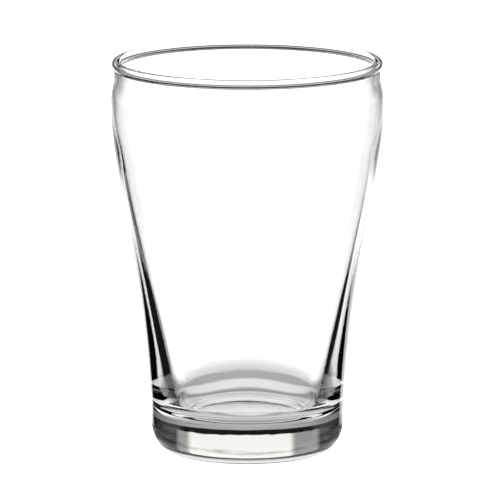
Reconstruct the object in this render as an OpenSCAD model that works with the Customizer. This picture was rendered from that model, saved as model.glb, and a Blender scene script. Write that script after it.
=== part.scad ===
// Pint beer glass: one piece of pressed soda-lime glass with a rounded safety rim,
// a gentle bulge below it, a wall that thickens downwards and a heavy base.
// It stands on z = 0 with its axis on +Z.

/* [Overall] */
// Height from the bearing ring to the top of the rim
height = 131.6; // [128:0.1:140]

/* [Rim] */
// Outer radius of the rim bead
rim_r = 44.7; // [44.5:0.1:44.9]
// Radius of the bead's round section
bead_r = 1.5; // [1.3:0.05:1.7]
// Outer radius of the neck under the bead
neck_r = 44.1; // [43.9:0.1:44.4]
// Wall thickness at the neck
neck_wall = 1.5; // [1.4:0.1:1.8]

/* [Bulge] */
// Height of the widest place
bulge_z = 117.8; // [114:0.2:119]
// Outer radius at the widest place
bulge_r = 45.1; // [44.8:0.05:46]
// Wall thickness at the widest place
bulge_wall = 1.4; // [1.2:0.05:1.8]

/* [Base] */
// Outer radius of the upright band around the base
base_r = 31.8; // [31:0.1:33]
// Height at which the upright band ends and the body begins to flare
band_top = 17.5; // [15:0.5:19]
// Height of the rounded heel
heel_h = 11.8; // [9:0.1:13]
// Inward reach of the rounded heel
heel_w = 11; // [9:0.1:11.4]
// Fullness of the heel: 0 is a straight slope, and 0.55 is close to an ellipse
heel_fullness = 0.62; // [0.4:0.02:0.66]
// Depth of the hollow in the underside
recess = 0.4; // [0.2:0.1:1]
// Radius of the hollow's flat middle
recess_r = 18.2; // [14:0.2:19]
// Inner radius of the flat bearing ring
ring_in = 19.6; // [19.2:0.1:20]

/* [Inside] */
// Height of the inside floor at its centre
floor_z = 13.6; // [12:0.1:15]
// Radius at which the straight inside cone would meet the floor
cone_r = 23.4; // [22:0.1:25]
// Widening of the inside cone, as a radius over a height
cone_slope = 0.212; // [0.19:0.002:0.22]
// Height at which the inside cone ends and curves into the bulge
cone_top = 94; // [90:1:98]
// Radius of the rounding between the wall and the floor
floor_fillet = 7.2; // [4:0.2:9]

/* [Hidden] */

facets = 180;        // a circle's sides in the preview
curve_steps = 24;    // points along a long curve
arc_steps = 12;      // points along a rounding
flare_start = 0.065; // slope of the body just above the band
lower_reach = 58;    // how far up the foot of the body curve holds its slope
upper_reach = 26;    // how far down the bulge holds its upright line
bead_blend = 0.9;    // radius of the hollow line on each side under the bead
neck_z = 125.6;      // height of the narrowest place under the bead
inner_neck_r = neck_r - neck_wall;
inner_bulge_r = bulge_r - bulge_wall;
bead_c = [rim_r - bead_r, height - bead_r];
cone_end_r = cone_r + cone_slope * (cone_top - floor_z);

// A point of a cubic curve, the whole curve, and an elliptical arc about a centre
function on_curve(a, b, c, d, t) =
    pow(1 - t, 3) * a + 3 * pow(1 - t, 2) * t * b + 3 * (1 - t) * t * t * c + pow(t, 3) * d;
function curve(a, b, c, d, n = curve_steps) = [for (i = [0:n]) on_curve(a, b, c, d, i / n)];
function arc(c, rx, ry, from, to, n = arc_steps) =
    [for (i = [0:n]) let (a = from + (to - from) * i / n) c + [rx * cos(a), ry * sin(a)]];

// The same points without any that repeats the one before it
function distinct(p) = [for (i = [0:len(p) - 1]) if (i == 0 || norm(p[i] - p[i - 1]) > 0.001) p[i]];

// The hollow blends under the bead: each touches the bead and the neck's upright line
outer_gap = neck_r - bead_c[0] + bead_blend;
outer_blend_c = bead_c + [outer_gap, -sqrt(pow(bead_r + bead_blend, 2) - pow(outer_gap, 2))];
outer_angle = -atan((bead_c[1] - outer_blend_c[1]) / outer_gap);
inner_gap = bead_c[0] - inner_neck_r + bead_blend;
inner_blend_c = bead_c - [inner_gap, sqrt(pow(bead_r + bead_blend, 2) - pow(inner_gap, 2))];
inner_angle = 180 + atan((bead_c[1] - inner_blend_c[1]) / inner_gap);

// The bearing ring ends where the heel begins, and the hollow's edge turns half-way to its flat middle
ring_r = base_r - heel_w;
step_mid = (recess_r + ring_in) / 2;

// The rounding between the inside cone and the floor touches both
cone_angle = atan(cone_slope);
fillet_c = [cone_r + floor_fillet * (cone_slope - 1 / cos(cone_angle)), floor_z + floor_fillet];

function outer_line() = concat(
    [[0, recess]],
    curve([recess_r, recess], [step_mid, recess], [step_mid, 0], [ring_in, 0], arc_steps),
    curve([ring_r, 0], [ring_r + heel_fullness * heel_w, 0],
        [base_r, heel_h * (1 - heel_fullness)], [base_r, heel_h]),
    curve([base_r, band_top], [base_r + flare_start * lower_reach, band_top + lower_reach],
        [bulge_r, bulge_z - upper_reach], [bulge_r, bulge_z]),
    curve([bulge_r, bulge_z], [bulge_r, bulge_z + 3], [neck_r, neck_z - 3], [neck_r, neck_z], arc_steps),
    arc(outer_blend_c, bead_blend, bead_blend, 180, 180 + outer_angle),
    arc(bead_c, bead_r, bead_r, outer_angle, 90));

function inner_line() = concat(
    arc(bead_c, bead_r, bead_r, 90, inner_angle),
    arc(inner_blend_c, bead_blend, bead_blend, inner_angle - 180, 0),
    curve([inner_neck_r, neck_z], [inner_neck_r, neck_z - 3],
        [inner_bulge_r, bulge_z + 3], [inner_bulge_r, bulge_z], arc_steps),
    curve([inner_bulge_r, bulge_z], [inner_bulge_r, bulge_z - 9],
        [cone_end_r + 10 * cone_slope, cone_top + 10], [cone_end_r, cone_top]),
    arc(fillet_c, floor_fillet, floor_fillet, -cone_angle, -90),
    [[0, floor_z]]);

module glass_body() {
    color([0.93, 0.96, 0.95, 0.45])
        rotate_extrude($fn = facets)
            polygon(distinct(concat(outer_line(), inner_line())));
}

glass_body();
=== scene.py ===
"""A clear pressed pint glass on a bright-field product table."""
import logging
import math
from dataclasses import dataclass, field

import bpy
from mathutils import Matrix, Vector


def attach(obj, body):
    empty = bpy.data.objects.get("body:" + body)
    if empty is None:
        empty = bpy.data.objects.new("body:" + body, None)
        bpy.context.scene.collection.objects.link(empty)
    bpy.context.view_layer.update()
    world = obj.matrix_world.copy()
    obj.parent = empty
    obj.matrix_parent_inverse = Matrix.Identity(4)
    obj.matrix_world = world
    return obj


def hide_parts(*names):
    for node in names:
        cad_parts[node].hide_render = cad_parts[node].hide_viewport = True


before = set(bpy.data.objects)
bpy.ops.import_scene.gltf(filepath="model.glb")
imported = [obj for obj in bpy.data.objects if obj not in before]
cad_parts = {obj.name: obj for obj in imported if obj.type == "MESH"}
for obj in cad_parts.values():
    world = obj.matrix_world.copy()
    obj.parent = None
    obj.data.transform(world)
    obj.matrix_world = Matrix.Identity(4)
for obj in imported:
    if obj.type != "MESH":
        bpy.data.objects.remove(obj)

LOG = logging.getLogger("pint_glass")
MM = 0.001
NODE = "glass_body"
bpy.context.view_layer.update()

Point = tuple[float, float]
Color = tuple[float, float, float]


# ---------------------------------------------------------------- outline

def cubic(a: Point, b: Point, c: Point, d: Point, steps: int) -> list[Point]:
    """Points along a cubic curve, both ends included.

    Args:
        a: where the curve starts.
        b: handle that sets the direction at the start.
        c: handle that sets the direction at the end.
        d: where the curve ends.
        steps: number of stretches.

    Returns:
        The points, as radius and height.
    """
    points = []
    for i in range(steps + 1):
        t = i / steps
        s = 1 - t
        w = (s ** 3, 3 * s * s * t, 3 * s * t * t, t ** 3)
        points.append(tuple(w[0] * a[k] + w[1] * b[k] + w[2] * c[k] + w[3] * d[k] for k in (0, 1)))
    return points


def arc(centre: Point, rx: float, rz: float, start: float, end: float, steps: int) -> list[Point]:
    """Points along an elliptical arc, both ends included.

    Args:
        centre: the arc's centre, as radius and height.
        rx: half-width of the ellipse.
        rz: half-height of the ellipse.
        start: first angle in degrees, from the outward direction.
        end: last angle in degrees.
        steps: number of stretches.

    Returns:
        The points, as radius and height.
    """
    points = []
    for i in range(steps + 1):
        angle = math.radians(start + (end - start) * i / steps)
        points.append((centre[0] + rx * math.cos(angle), centre[1] + rz * math.sin(angle)))
    return points


def distinct(points: list[Point], gap: float = 0.001) -> list[Point]:
    """The same points without any that lies on the one before it.

    Args:
        points: the points in order.
        gap: the least distance between neighbours, in millimetres.

    Returns:
        The points that are left.
    """
    kept = [points[0]]
    for p in points[1:]:
        if math.dist(p, kept[-1]) > gap:
            kept.append(p)
    return kept


@dataclass
class GlassOutline:
    """Half section of the glass, in millimetres, with the same sizes as the design."""

    height: float = 131.6
    rim_r: float = 44.7
    bead_r: float = 1.5
    bead_blend: float = 0.9
    neck_r: float = 44.1
    neck_z: float = 125.6
    neck_wall: float = 1.5
    bulge_z: float = 117.8
    bulge_r: float = 45.1
    bulge_wall: float = 1.4
    base_r: float = 31.8
    band_top: float = 17.5
    heel_h: float = 11.8
    heel_w: float = 11.0
    heel_fullness: float = 0.62
    recess: float = 0.4
    recess_r: float = 18.2
    ring_in: float = 19.6
    floor_z: float = 13.6
    cone_r: float = 23.4
    cone_slope: float = 0.212
    cone_top: float = 94.0
    floor_fillet: float = 7.2
    flare_start: float = 0.065
    lower_reach: float = 58.0
    upper_reach: float = 26.0
    neck_reach: float = 3.0
    inner_reach: float = 9.0
    cone_reach: float = 10.0

    def bead_centre(self) -> Point:
        """Centre of the rim bead's round section."""
        return self.rim_r - self.bead_r, self.height - self.bead_r

    def blend(self, side: int) -> tuple[Point, float]:
        """The hollow blend under the bead, which touches the bead and the neck.

        Args:
            side: 1 for the outside of the wall and -1 for the inside.

        Returns:
            The blend's centre, and its angle below the bead's centre in degrees.
        """
        centre = self.bead_centre()
        wall_r = self.neck_r if side > 0 else self.neck_r - self.neck_wall
        gap = side * (wall_r - centre[0]) + self.bead_blend
        drop = math.sqrt((self.bead_r + self.bead_blend) ** 2 - gap ** 2)
        return (centre[0] + side * gap, centre[1] - drop), math.degrees(math.atan(drop / gap))

    def outside(self) -> list[Point]:
        """The outline from the middle of the underside up to the top of the rim."""
        ring_r = self.base_r - self.heel_w
        step_mid = (self.recess_r + self.ring_in) / 2
        blend_c, blend_angle = self.blend(1)
        bulge = (self.bulge_r, self.bulge_z)
        neck = (self.neck_r, self.neck_z)
        foot = (self.base_r, self.band_top)
        foot_handle = (self.base_r + self.flare_start * self.lower_reach, self.band_top + self.lower_reach)
        return (
            [(self.recess_r * k / 6, self.recess) for k in range(7)]
            + cubic((self.recess_r, self.recess), (step_mid, self.recess), (step_mid, 0),
                    (self.ring_in, 0), 10)
            + [((self.ring_in + ring_r) / 2, 0)]
            + cubic((ring_r, 0), (ring_r + self.heel_fullness * self.heel_w, 0),
                    (self.base_r, self.heel_h * (1 - self.heel_fullness)), (self.base_r, self.heel_h), 44)
            + [(self.base_r, self.heel_h + (self.band_top - self.heel_h) * k / 24) for k in range(1, 24)]
            + cubic(foot, foot_handle, (self.bulge_r, self.bulge_z - self.upper_reach), bulge, 60)
            + cubic(bulge, (self.bulge_r, self.bulge_z + self.neck_reach),
                    (self.neck_r, self.neck_z - self.neck_reach), neck, 14)
            + arc(blend_c, self.bead_blend, self.bead_blend, 180, 180 - blend_angle, 8)
            + arc(self.bead_centre(), self.bead_r, self.bead_r, -blend_angle, 90, 24)
        )

    def inside(self) -> list[Point]:
        """The outline from the top of the rim down to the middle of the inside floor."""
        blend_c, blend_angle = self.blend(-1)
        neck_r = self.neck_r - self.neck_wall
        bulge = (self.bulge_r - self.bulge_wall, self.bulge_z)
        cone_end = (self.cone_r + self.cone_slope * (self.cone_top - self.floor_z), self.cone_top)
        cone_angle = math.degrees(math.atan(self.cone_slope))
        lean = self.cone_slope - 1 / math.cos(math.radians(cone_angle))
        fillet_c = (self.cone_r + self.floor_fillet * lean, self.floor_z + self.floor_fillet)
        return (
            arc(self.bead_centre(), self.bead_r, self.bead_r, 90, 180 + blend_angle, 26)
            + arc(blend_c, self.bead_blend, self.bead_blend, blend_angle, 0, 8)
            + cubic((neck_r, self.neck_z), (neck_r, self.neck_z - self.neck_reach),
                    (bulge[0], self.bulge_z + self.neck_reach), bulge, 14)
            + cubic(bulge, (bulge[0], self.bulge_z - self.inner_reach),
                    (cone_end[0] + self.cone_reach * self.cone_slope, self.cone_top + self.cone_reach),
                    cone_end, 30)
            + [(cone_end[0] + (self.cone_r - cone_end[0]) * k / 30,
                self.cone_top + (self.floor_z - self.cone_top) * k / 30) for k in range(1, 28)]
            + arc(fillet_c, self.floor_fillet, self.floor_fillet, -cone_angle, -90, 24)
            + [(fillet_c[0] * k / 6, self.floor_z) for k in range(5, -1, -1)]
        )

    def points(self) -> list[Point]:
        """The whole half section, from pole to pole."""
        return distinct(self.outside() + self.inside())


# ---------------------------------------------------------------- nodes

@dataclass
class NodeSheet:
    """Short ways to add and join the nodes of one tree."""

    tree: bpy.types.NodeTree

    def join(self, value: object, socket: bpy.types.NodeSocket) -> None:
        """Sets a socket to a number, or links another node's output to it.

        Args:
            value: a number or an output socket.
            socket: the input socket.
        """
        if isinstance(value, bpy.types.NodeSocket):
            self.tree.links.new(value, socket)
        else:
            socket.default_value = value

    def math(self, operation: str, a: object, b: object = 0.0) -> bpy.types.NodeSocket:
        """Adds a Math node.

        Args:
            operation: the node's operation.
            a: the first number or socket.
            b: the second number or socket.

        Returns:
            The result's socket.
        """
        node = self.tree.nodes.new("ShaderNodeMath")
        node.operation = operation
        self.join(a, node.inputs[0])
        self.join(b, node.inputs[1])
        return node.outputs[0]

    def length(self, a: object, b: object) -> bpy.types.NodeSocket:
        """Adds the nodes that give the length of a line from its two square parts.

        Args:
            a: the first part, a number or a socket.
            b: the second part, a number or a socket.

        Returns:
            The length's socket.
        """
        squares = [self.math("MULTIPLY", part, part) for part in (a, b)]
        return self.math("SQRT", self.math("ADD", *squares))

    def ramp(self, value: object, start: float, end: float, low: float = 0.0,
             high: float = 1.0) -> bpy.types.NodeSocket:
        """Adds a smooth step from one level to another.

        Args:
            value: the number or socket that the step follows.
            start: where the step begins.
            end: where the step ends.
            low: the level before the step.
            high: the level after it.

        Returns:
            The level's socket.
        """
        node = self.tree.nodes.new("ShaderNodeMapRange")
        node.interpolation_type = "SMOOTHSTEP"
        self.join(value, node.inputs["Value"])
        for name, level in (("From Min", start), ("From Max", end), ("To Min", low), ("To Max", high)):
            node.inputs[name].default_value = level
        return node.outputs["Result"]

    def profile(self, value: object, points: tuple[Point, ...]) -> bpy.types.NodeSocket:
        """Adds a level that follows a line of points.

        Args:
            value: the number or socket that the level follows.
            points: places and levels, in order.

        Returns:
            The level's socket.
        """
        reach = points[-1][0]
        node = self.tree.nodes.new("ShaderNodeValToRGB")
        self.join(self.math("DIVIDE", value, reach), node.inputs[0])
        stops = node.color_ramp.elements
        for place, _ in points[1:-1]:
            stops.new(place / reach)
        for stop, (place, level) in zip(stops, points):
            stop.position = place / reach
            stop.color = (level, level, level, 1)
        return node.outputs["Color"]

    def noise(self, place: bpy.types.NodeSocket, scale: float, detail: float) -> bpy.types.NodeSocket:
        """Adds a noise pattern.

        Args:
            place: socket of the point's place.
            scale: how many blotches there are in a metre.
            detail: how many finer layers it has.

        Returns:
            The pattern's socket.
        """
        node = self.tree.nodes.new("ShaderNodeTexNoise")
        self.join(place, node.inputs["Vector"])
        node.inputs["Scale"].default_value = scale
        node.inputs["Detail"].default_value = detail
        return node.outputs[0]


# ---------------------------------------------------------------- finishes

@dataclass(frozen=True)
class ClearGlass:
    """Fire-polished soda-lime glass: clear, a trace of green where thick, waves and scuffs from use."""

    ior: float = 1.52
    tint: tuple[float, float, float] = (0.90, 0.94, 0.83)
    tint_density: float = 5.0
    cords: float = 55.0
    cord_depth: float = 0.00010
    press_waves: float = 150.0
    wave_depth: float = 0.00003
    base_top: float = 0.019
    wall_start: float = 0.031
    wall_share: float = 0.12
    scuff_grain: float = 2400.0
    scuff_edge: Point = (0.5, 0.62)
    scuff_top: float = 0.0012
    scuff_rough: float = 0.3
    film: float = 0.012
    film_edge: Point = (0.55, 0.75)
    tones: tuple[Color, Color] = ((0.975, 0.985, 0.97), (1.0, 1.0, 1.0))

    def relief(self, sheet: NodeSheet, place: bpy.types.NodeSocket,
               z: bpy.types.NodeSocket) -> bpy.types.NodeSocket:
        """Adds the waves that pressing leaves in the surface: strong on the base, faint on the wall.

        Args:
            sheet: the material's node tree.
            place: socket of the point's place.
            z: socket of its height.

        Returns:
            The socket of the bumped normal.
        """
        share = sheet.ramp(z, self.base_top, self.wall_start, 1, self.wall_share)
        cords = sheet.math("MULTIPLY", sheet.noise(place, self.cords, 1.5), self.cord_depth)
        waves = sheet.math("MULTIPLY", sheet.noise(place, self.press_waves, 2), self.wave_depth)
        height = sheet.math("MULTIPLY", sheet.math("ADD", cords, waves), share)
        bump = sheet.tree.nodes.new("ShaderNodeBump")
        bump.inputs["Distance"].default_value = 1.0
        sheet.join(height, bump.inputs["Height"])
        return bump.outputs["Normal"]

    def build(self) -> bpy.types.Material:
        """Makes the material."""
        mat = bpy.data.materials.new("clear_glass")
        mat.use_nodes = True
        tree = mat.node_tree
        tree.nodes.clear()
        sheet = NodeSheet(tree)
        out = tree.nodes.new("ShaderNodeOutputMaterial")
        shader = tree.nodes.new("ShaderNodeBsdfPrincipled")
        shader.inputs["IOR"].default_value = self.ior
        shader.inputs["Transmission Weight"].default_value = 1.0
        place = tree.nodes.new("ShaderNodeTexCoord").outputs["Object"]
        split = tree.nodes.new("ShaderNodeSeparateXYZ")
        sheet.join(place, split.inputs[0])
        z = split.outputs["Z"]
        sheet.join(self.relief(sheet, place, z), shader.inputs["Normal"])

        grain = sheet.ramp(sheet.noise(place, self.scuff_grain, 3), *self.scuff_edge)
        scuffs = sheet.math("MULTIPLY", grain, sheet.ramp(z, 0, self.scuff_top, self.scuff_rough, 0))
        film = sheet.ramp(sheet.noise(place, self.cords, 4), *self.film_edge, 0, self.film)
        sheet.join(sheet.math("ADD", scuffs, film), shader.inputs["Roughness"])
        tone = tree.nodes.new("ShaderNodeMix")
        tone.data_type = "RGBA"
        sheet.join(sheet.noise(place, self.cords, 3), tone.inputs["Factor"])
        tone.inputs["A"].default_value = (*self.tones[0], 1)
        tone.inputs["B"].default_value = (*self.tones[1], 1)
        sheet.join(tone.outputs["Result"], shader.inputs["Base Color"])
        tree.links.new(shader.outputs["BSDF"], out.inputs["Surface"])
        volume = tree.nodes.new("ShaderNodeVolumeAbsorption")
        volume.inputs["Color"].default_value = (*self.tint, 1)
        volume.inputs["Density"].default_value = self.tint_density
        tree.links.new(volume.outputs["Volume"], out.inputs["Volume"])
        return mat


# ---------------------------------------------------------------- the glass

@dataclass
class PintGlass:
    """The one piece of glass, turned from its half section."""

    outline: GlassOutline = field(default_factory=GlassOutline)
    finish: ClearGlass = field(default_factory=ClearGlass)
    turn_steps: int = 272
    seam_gap: float = 0.002 * MM

    def section(self) -> bpy.types.Object:
        """Makes the half section as a chain of edges in the XZ plane."""
        points = self.outline.points()
        mesh = bpy.data.meshes.new("half_section")
        edges = [(i, i + 1) for i in range(len(points) - 1)]
        mesh.from_pydata([(r * MM, 0, z * MM) for r, z in points], edges, [])
        ob = bpy.data.objects.new("half_section", mesh)
        bpy.context.scene.collection.objects.link(ob)
        return ob

    def lathe_tree(self, material: bpy.types.Material) -> bpy.types.NodeTree:
        """Makes the node tree that turns a half section about the Z axis.

        Args:
            material: what the turned surface is made of.

        Returns:
            The node tree, with its sizes as named inputs.
        """
        tree = bpy.data.node_groups.new("glass_lathe", "GeometryNodeTree")
        face = tree.interface
        face.new_socket("Geometry", in_out="INPUT", socket_type="NodeSocketGeometry")
        face.new_socket("Turn Steps", in_out="INPUT", socket_type="NodeSocketInt")
        face.new_socket("Seam Gap", in_out="INPUT", socket_type="NodeSocketFloat")
        face.new_socket("Geometry", in_out="OUTPUT", socket_type="NodeSocketGeometry")
        new, link = tree.nodes.new, tree.links.new
        inputs = new("NodeGroupInput")
        output = new("NodeGroupOutput")

        size = new("GeometryNodeAttributeDomainSize")
        link(inputs.outputs["Geometry"], size.inputs["Geometry"])
        columns = new("ShaderNodeMath")
        columns.operation = "ADD"
        columns.inputs[1].default_value = 1
        link(inputs.outputs["Turn Steps"], columns.inputs[0])
        grid = new("GeometryNodeMeshGrid")
        link(columns.outputs[0], grid.inputs["Vertices X"])
        link(size.outputs["Point Count"], grid.inputs["Vertices Y"])

        index = new("GeometryNodeInputIndex")
        row = new("ShaderNodeMath")
        row.operation = "MODULO"
        link(index.outputs[0], row.inputs[0])
        link(size.outputs["Point Count"], row.inputs[1])
        column = new("ShaderNodeMath")
        column.operation = "DIVIDE"
        link(index.outputs[0], column.inputs[0])
        link(size.outputs["Point Count"], column.inputs[1])
        whole = new("ShaderNodeMath")
        whole.operation = "FLOOR"
        link(column.outputs[0], whole.inputs[0])
        share = new("ShaderNodeMath")
        share.operation = "DIVIDE"
        link(whole.outputs[0], share.inputs[0])
        link(inputs.outputs["Turn Steps"], share.inputs[1])
        angle = new("ShaderNodeMath")
        angle.operation = "MULTIPLY"
        angle.inputs[1].default_value = math.tau
        link(share.outputs[0], angle.inputs[0])

        place = new("GeometryNodeInputPosition")
        sample = new("GeometryNodeSampleIndex")
        sample.data_type = "FLOAT_VECTOR"
        sample.domain = "POINT"
        link(inputs.outputs["Geometry"], sample.inputs["Geometry"])
        link(place.outputs[0], sample.inputs["Value"])
        link(row.outputs[0], sample.inputs["Index"])
        turn = new("ShaderNodeVectorRotate")
        turn.rotation_type = "Z_AXIS"
        link(sample.outputs["Value"], turn.inputs["Vector"])
        link(angle.outputs[0], turn.inputs["Angle"])
        move = new("GeometryNodeSetPosition")
        link(grid.outputs["Mesh"], move.inputs["Geometry"])
        link(turn.outputs["Vector"], move.inputs["Position"])

        merge = new("GeometryNodeMergeByDistance")
        link(move.outputs["Geometry"], merge.inputs["Geometry"])
        link(inputs.outputs["Seam Gap"], merge.inputs["Distance"])
        smooth = new("GeometryNodeSetShadeSmooth")
        link(merge.outputs["Geometry"], smooth.inputs["Geometry"])
        real = new("GeometryNodeRealizeInstances")
        link(smooth.outputs["Geometry"], real.inputs["Geometry"])
        dress = new("GeometryNodeSetMaterial")
        dress.inputs["Material"].default_value = material
        link(real.outputs["Geometry"], dress.inputs["Geometry"])
        link(dress.outputs["Geometry"], output.inputs["Geometry"])
        return tree

    def build(self) -> bpy.types.Object:
        """Turns the glass and returns it as a plain mesh."""
        material = self.finish.build()
        section = self.section()
        lathe = section.modifiers.new("lathe", "NODES")
        tree = self.lathe_tree(material)
        lathe.node_group = tree
        sizes = {"Turn Steps": self.turn_steps, "Seam Gap": self.seam_gap}
        for item in tree.interface.items_tree:
            if item.in_out == "INPUT" and item.name in sizes:
                lathe[item.identifier] = sizes[item.name]
        graph = bpy.context.evaluated_depsgraph_get()
        mesh = bpy.data.meshes.new_from_object(section.evaluated_get(graph))
        mesh.name = "pint_glass"
        bpy.data.objects.remove(section)
        piece = bpy.data.objects.new("pint_glass", mesh)
        bpy.context.scene.collection.objects.link(piece)
        return piece


# ---------------------------------------------------------------- studio

@dataclass(frozen=True)
class Window:
    """The bright opening behind the glass: its edges start beside the foot and spread to the back."""

    left: float = 30.0
    right: float = 37.5
    left_foot: float = 50.0
    right_foot: float = 57.0
    soft: float = 0.05
    front: Point = (-50.0, -40.0)

    def mask(self, sheet: NodeSheet, x: object, y: object) -> bpy.types.NodeSocket:
        """Adds the nodes that are 1 inside the window and 0 outside it.

        Args:
            sheet: the tree to add them to.
            x: socket of the distance to the right.
            y: socket of the distance to the back.

        Returns:
            The mask's socket.
        """
        lit = sheet.ramp(y, *self.front)
        for side, turn, foot in ((-1, self.left, self.left_foot), (1, self.right, self.right_foot)):
            spread = sheet.math("MULTIPLY", sheet.math("MAXIMUM", y, 0), math.tan(math.radians(turn)) / foot)
            reach = sheet.math("DIVIDE", sheet.math("MULTIPLY", x, side / foot), sheet.length(spread, 1))
            lit = sheet.math("MULTIPLY", lit, sheet.ramp(reach, 1 - self.soft, 1 + self.soft, 1, 0))
        return lit


@dataclass
class Studio:
    """A white table and sweep, with dark surroundings that draw the edges of the glass."""

    window: Window = field(default_factory=Window)
    white: float = 1.6
    table_reach: float = 3000.0
    table_z: float = 0.2
    plain_reach: float = 4000.0
    plain_z: float = -0.5
    screen_r: float = 2900.0
    screen_foot: float = -145.0
    screen_top: float = 55.0
    strip_low: Point = (3.0, 4.2)
    strip_high: Point = (9.9, 10.7)
    lit_high: Point = (15.0, 17.0)
    upper_share: float = 0.04
    ring_narrowing: float = 2.2
    narrowing_edge: Point = (20.0, 50.0)
    front_edge: Point = (-6.0, 0.0)
    side_edge: Point = (34.0, 44.0)
    graze_shade_edge: Point = (0.90, 0.96)
    screen_steps: int = 96
    grey: float = 0.3
    grey_far: float = 0.17
    dark: float = 0.006
    # Painted shadow rings of the glass on the light table, as distance from the axis and level.
    table_shade: tuple[Point, ...] = (
        (0, 0.62), (21, 0.6), (22.6, 0.45), (24, 0.33), (25.5, 0.5), (27, 0.54), (29, 0.4), (31, 0.5),
        (34, 0.48), (35.5, 0.25), (39, 0.27), (41, 0.5), (43, 0.6), (52, 0.6), (54.5, 0.48), (57, 0.34),
        (59, 0.31), (80, 0.31), (82, 0.42), (85, 0.5), (91, 0.56), (100, 0.75), (110, 1))
    # Painted shade beside the glass, as turn from the back in degrees and level.
    side_shade: tuple[Point, ...] = ((0, 1), (42, 1), (60, 0.5), (72, 0.15), (100, 0.08), (180, 0.08))
    # Painted contact shadow under the front of the heel, as distance from the axis and level.
    front_shade: tuple[Point, ...] = ((0, 1), (8, 1), (11, 0.4), (17, 0.4), (21, 0.7), (26, 0.9))
    table_width: tuple[Point, ...] = ((0, 1), (150, 1), (221, 0.5), (307, 0.33), (600, 0.25))
    screen_around: tuple[Point, ...] = (
        (0, 0.008), (100, 0.008), (139, 0.012), (143, 0.2), (158, 0.22), (160.5, 0.64), (207.5, 0.64),
        (210, 0.24), (216, 0.2), (219, 0.012), (260, 0.008), (360, 0.008))
    foot_around: tuple[Point, ...] = ((0, 0.3), (25, 0.24), (45, 0.19), (65, 0.14), (90, 0.02), (180, 0.012))

    def surface(self, name: str, corners: list[tuple[float, float, float]], faces: list[tuple[int, ...]],
                seen: bool, parent: bpy.types.Object | None = None) -> tuple[bpy.types.Object, NodeSheet]:
        """Makes a glowing surface.

        Args:
            name: the object's name.
            corners: its points, in millimetres.
            faces: its faces.
            seen: whether the camera sees it, or only the light in the glass does.
            parent: what it turns with.

        Returns:
            The surface, and the node tree of its material.
        """
        mesh = bpy.data.meshes.new(name)
        mesh.from_pydata([tuple(c * MM for c in p) for p in corners], [], faces)
        ob = bpy.data.objects.new(name, mesh)
        bpy.context.scene.collection.objects.link(ob)
        mat = bpy.data.materials.new(name)
        mat.use_nodes = True
        tree = mat.node_tree
        tree.nodes.clear()
        out = tree.nodes.new("ShaderNodeOutputMaterial")
        glow = tree.nodes.new("ShaderNodeEmission")
        glow.inputs["Strength"].default_value = self.white
        tree.links.new(glow.outputs["Emission"], out.inputs["Surface"])
        mesh.materials.append(mat)
        ob.visible_camera = seen
        ob.parent = parent
        return ob, NodeSheet(tree)

    def flat_place(self, sheet: NodeSheet) -> list[bpy.types.NodeSocket]:
        """Adds the nodes that give a point's place on a surface, in millimetres.

        Args:
            sheet: the surface's node tree.

        Returns:
            The sockets of X, Y and Z.
        """
        place = sheet.tree.nodes.new("ShaderNodeTexCoord")
        split = sheet.tree.nodes.new("ShaderNodeSeparateXYZ")
        sheet.join(place.outputs["Object"], split.inputs[0])
        return [sheet.math("MULTIPLY", split.outputs[k], 1000) for k in range(3)]

    def glow(self, sheet: NodeSheet, level: bpy.types.NodeSocket) -> None:
        """Makes a surface glow, and never less than the dark of the room.

        Args:
            sheet: the surface's node tree.
            level: socket of the level, where 1 is white.
        """
        strength = sheet.math("MULTIPLY", sheet.math("MAXIMUM", level, self.dark), self.white)
        sheet.join(strength, sheet.tree.nodes["Emission"].inputs["Strength"])

    def light_table(self, rig: bpy.types.Object) -> None:
        """Makes the lit part of the table, with painted shade and painted shadow rings of the glass close to
        it.

        Args:
            rig: what it turns with.
        """
        r, z = self.table_reach, self.table_z
        corners = [(-r, -r, z), (r, -r, z), (r, r, z), (-r, r, z)]
        _, sheet = self.surface("light_table", corners, [(0, 1, 2, 3)], False, rig)
        x, y, _ = self.flat_place(sheet)
        away = sheet.length(x, y)
        # Painted shadow rings of the glass on the table, with lighter rings between them, narrower across
        # the table towards the back.
        narrow = sheet.math("MULTIPLY", x, sheet.ramp(y, *self.narrowing_edge, 1, self.ring_narrowing))
        shade = sheet.profile(sheet.length(narrow, y), self.table_shade)
        aside = sheet.math("ABSOLUTE", x)
        # Painted contact shadow on the table under the front of the heel.
        front = sheet.math("SUBTRACT", 1, sheet.profile(away, self.front_shade))
        front = sheet.math("MULTIPLY", sheet.ramp(y, *self.front_edge, 1, 0), front)
        shade = sheet.math("MULTIPLY", shade, sheet.math("SUBTRACT", 1, front))
        shade = sheet.math("MULTIPLY", shade, sheet.profile(aside, self.table_width))
        # Painted shade on the table beside the glass, away from its foot.
        turn = sheet.math("MULTIPLY", sheet.math("ARCTAN2", aside, y), 180 / math.pi)
        beside = sheet.math("SUBTRACT", 1, sheet.profile(turn, self.side_shade))
        beside = sheet.math("MULTIPLY", beside, sheet.ramp(away, *self.side_edge))
        shade = sheet.math("MULTIPLY", shade, sheet.math("SUBTRACT", 1, beside))
        lit = self.window.mask(sheet, x, y)
        # Painted shade at grazing angles: the table glows greyer where a ray meets it nearly edge-on, and
        # glows a faint grey there even outside the window.
        graze_weight = sheet.tree.nodes.new("ShaderNodeLayerWeight")
        graze = sheet.ramp(graze_weight.outputs["Facing"], *self.graze_shade_edge)
        dim = sheet.math("SUBTRACT", 1, sheet.math("MULTIPLY", graze, 1 - self.grey))
        level = sheet.math("MULTIPLY", sheet.math("MULTIPLY", lit, shade), dim)
        self.glow(sheet, sheet.math("MAXIMUM", level, sheet.math("MULTIPLY", graze, self.grey_far)))

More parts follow.
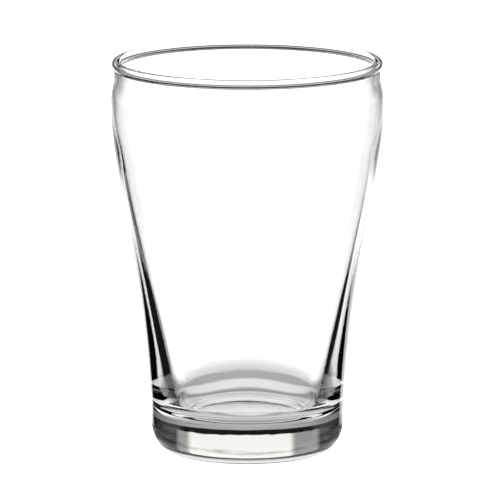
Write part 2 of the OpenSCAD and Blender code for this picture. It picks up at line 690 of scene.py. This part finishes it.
    def screen(self, rig: bpy.types.Object) -> None:
        """Makes the round screen, with its grey foot, its dark strip and its lit middle.

        Args:
            rig: what it turns with.
        """
        corners, faces = [], []
        top = self.screen_r * math.tan(math.radians(self.screen_top))
        for i in range(self.screen_steps + 1):
            a = math.tau * i / self.screen_steps
            for z in (self.screen_foot, top):
                corners.append((self.screen_r * math.sin(a), self.screen_r * math.cos(a), z))
            if i:
                faces.append((2 * i - 2, 2 * i, 2 * i + 1, 2 * i - 1))
        _, sheet = self.surface("screen", corners, faces, False, rig)
        x, y, z = self.flat_place(sheet)
        rise = sheet.math("MULTIPLY", sheet.math("ARCTAN2", z, self.screen_r), 180 / math.pi)
        turn = sheet.math("MULTIPLY", sheet.math("ARCTAN2", x, y), 180 / math.pi)
        around = sheet.profile(sheet.math("ADD", turn, 180), self.screen_around)
        foot = sheet.profile(sheet.math("ABSOLUTE", turn), self.foot_around)
        above = sheet.math("MULTIPLY", sheet.ramp(rise, *self.strip_high),
                           sheet.ramp(rise, *self.lit_high, 1, self.upper_share))
        below = sheet.ramp(rise, *self.strip_low, 1, 0)
        self.glow(sheet, sheet.math("ADD", sheet.math("MULTIPLY", around, above),
                                    sheet.math("MULTIPLY", foot, below)))

    def build(self) -> bpy.types.Object:
        """Makes the table, the screen and the empty that they turn with, and returns the empty."""
        scene = bpy.context.scene
        scene.view_settings.view_transform = "Standard"
        world = bpy.data.worlds.new("room")
        scene.world = world
        world.use_nodes = True
        world.node_tree.nodes["Background"].inputs["Color"].default_value = (1, 1, 1, 1)
        rays = world.cycles_visibility
        rays.diffuse = rays.glossy = rays.transmission = rays.scatter = False

        rig = bpy.data.objects.new("rig", None)
        scene.collection.objects.link(rig)
        r, z = self.plain_reach, self.plain_z
        corners = [(-r, -r, z), (r, -r, z), (r, r, z), (-r, r, z)]
        table, _ = self.surface("table", corners, [(0, 1, 2, 3)], True)
        table.visible_transmission = table.visible_glossy = False
        self.light_table(rig)
        self.screen(rig)
        return rig


@dataclass
class Viewpoint:
    """Where the camera stands, and how it is framed."""

    elevation: float = 9.9
    distance: float = 3.9
    frame_width: float = 0.16525
    aim: tuple[float, float, float] = (0.0009, 0.0, 0.06785)
    sensor: float = 36.0

    def build(self) -> bpy.types.Object:
        """Makes the camera and returns it."""
        data = bpy.data.cameras.new("camera")
        data.sensor_width = self.sensor
        data.lens = self.sensor * self.distance / self.frame_width
        data.clip_end = 20
        ob = bpy.data.objects.new("camera", data)
        bpy.context.scene.collection.objects.link(ob)
        tilt = math.radians(self.elevation)
        back = Vector((0, -math.cos(tilt), math.sin(tilt)))
        ob.location = Vector(self.aim) + back * self.distance
        ob.rotation_mode = "QUATERNION"
        ob.rotation_quaternion = (-back).to_track_quat("-Z", "Y")
        bpy.context.scene.camera = ob
        return ob


def main() -> None:
    """Builds the glass, the studio and the camera."""
    logging.basicConfig(level=logging.INFO, format="%(message)s")
    camera = Viewpoint().build()
    rig = Studio().build()
    lock = rig.constraints.new("LOCKED_TRACK")
    lock.target = camera
    lock.track_axis = "TRACK_NEGATIVE_Y"
    lock.lock_axis = "LOCK_Z"
    glass = PintGlass().build()
    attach(glass, "root")
    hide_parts(NODE)
    LOG.info("pint_glass: %d faces", len(glass.data.polygons))


if __name__ == "__main__":
    main()
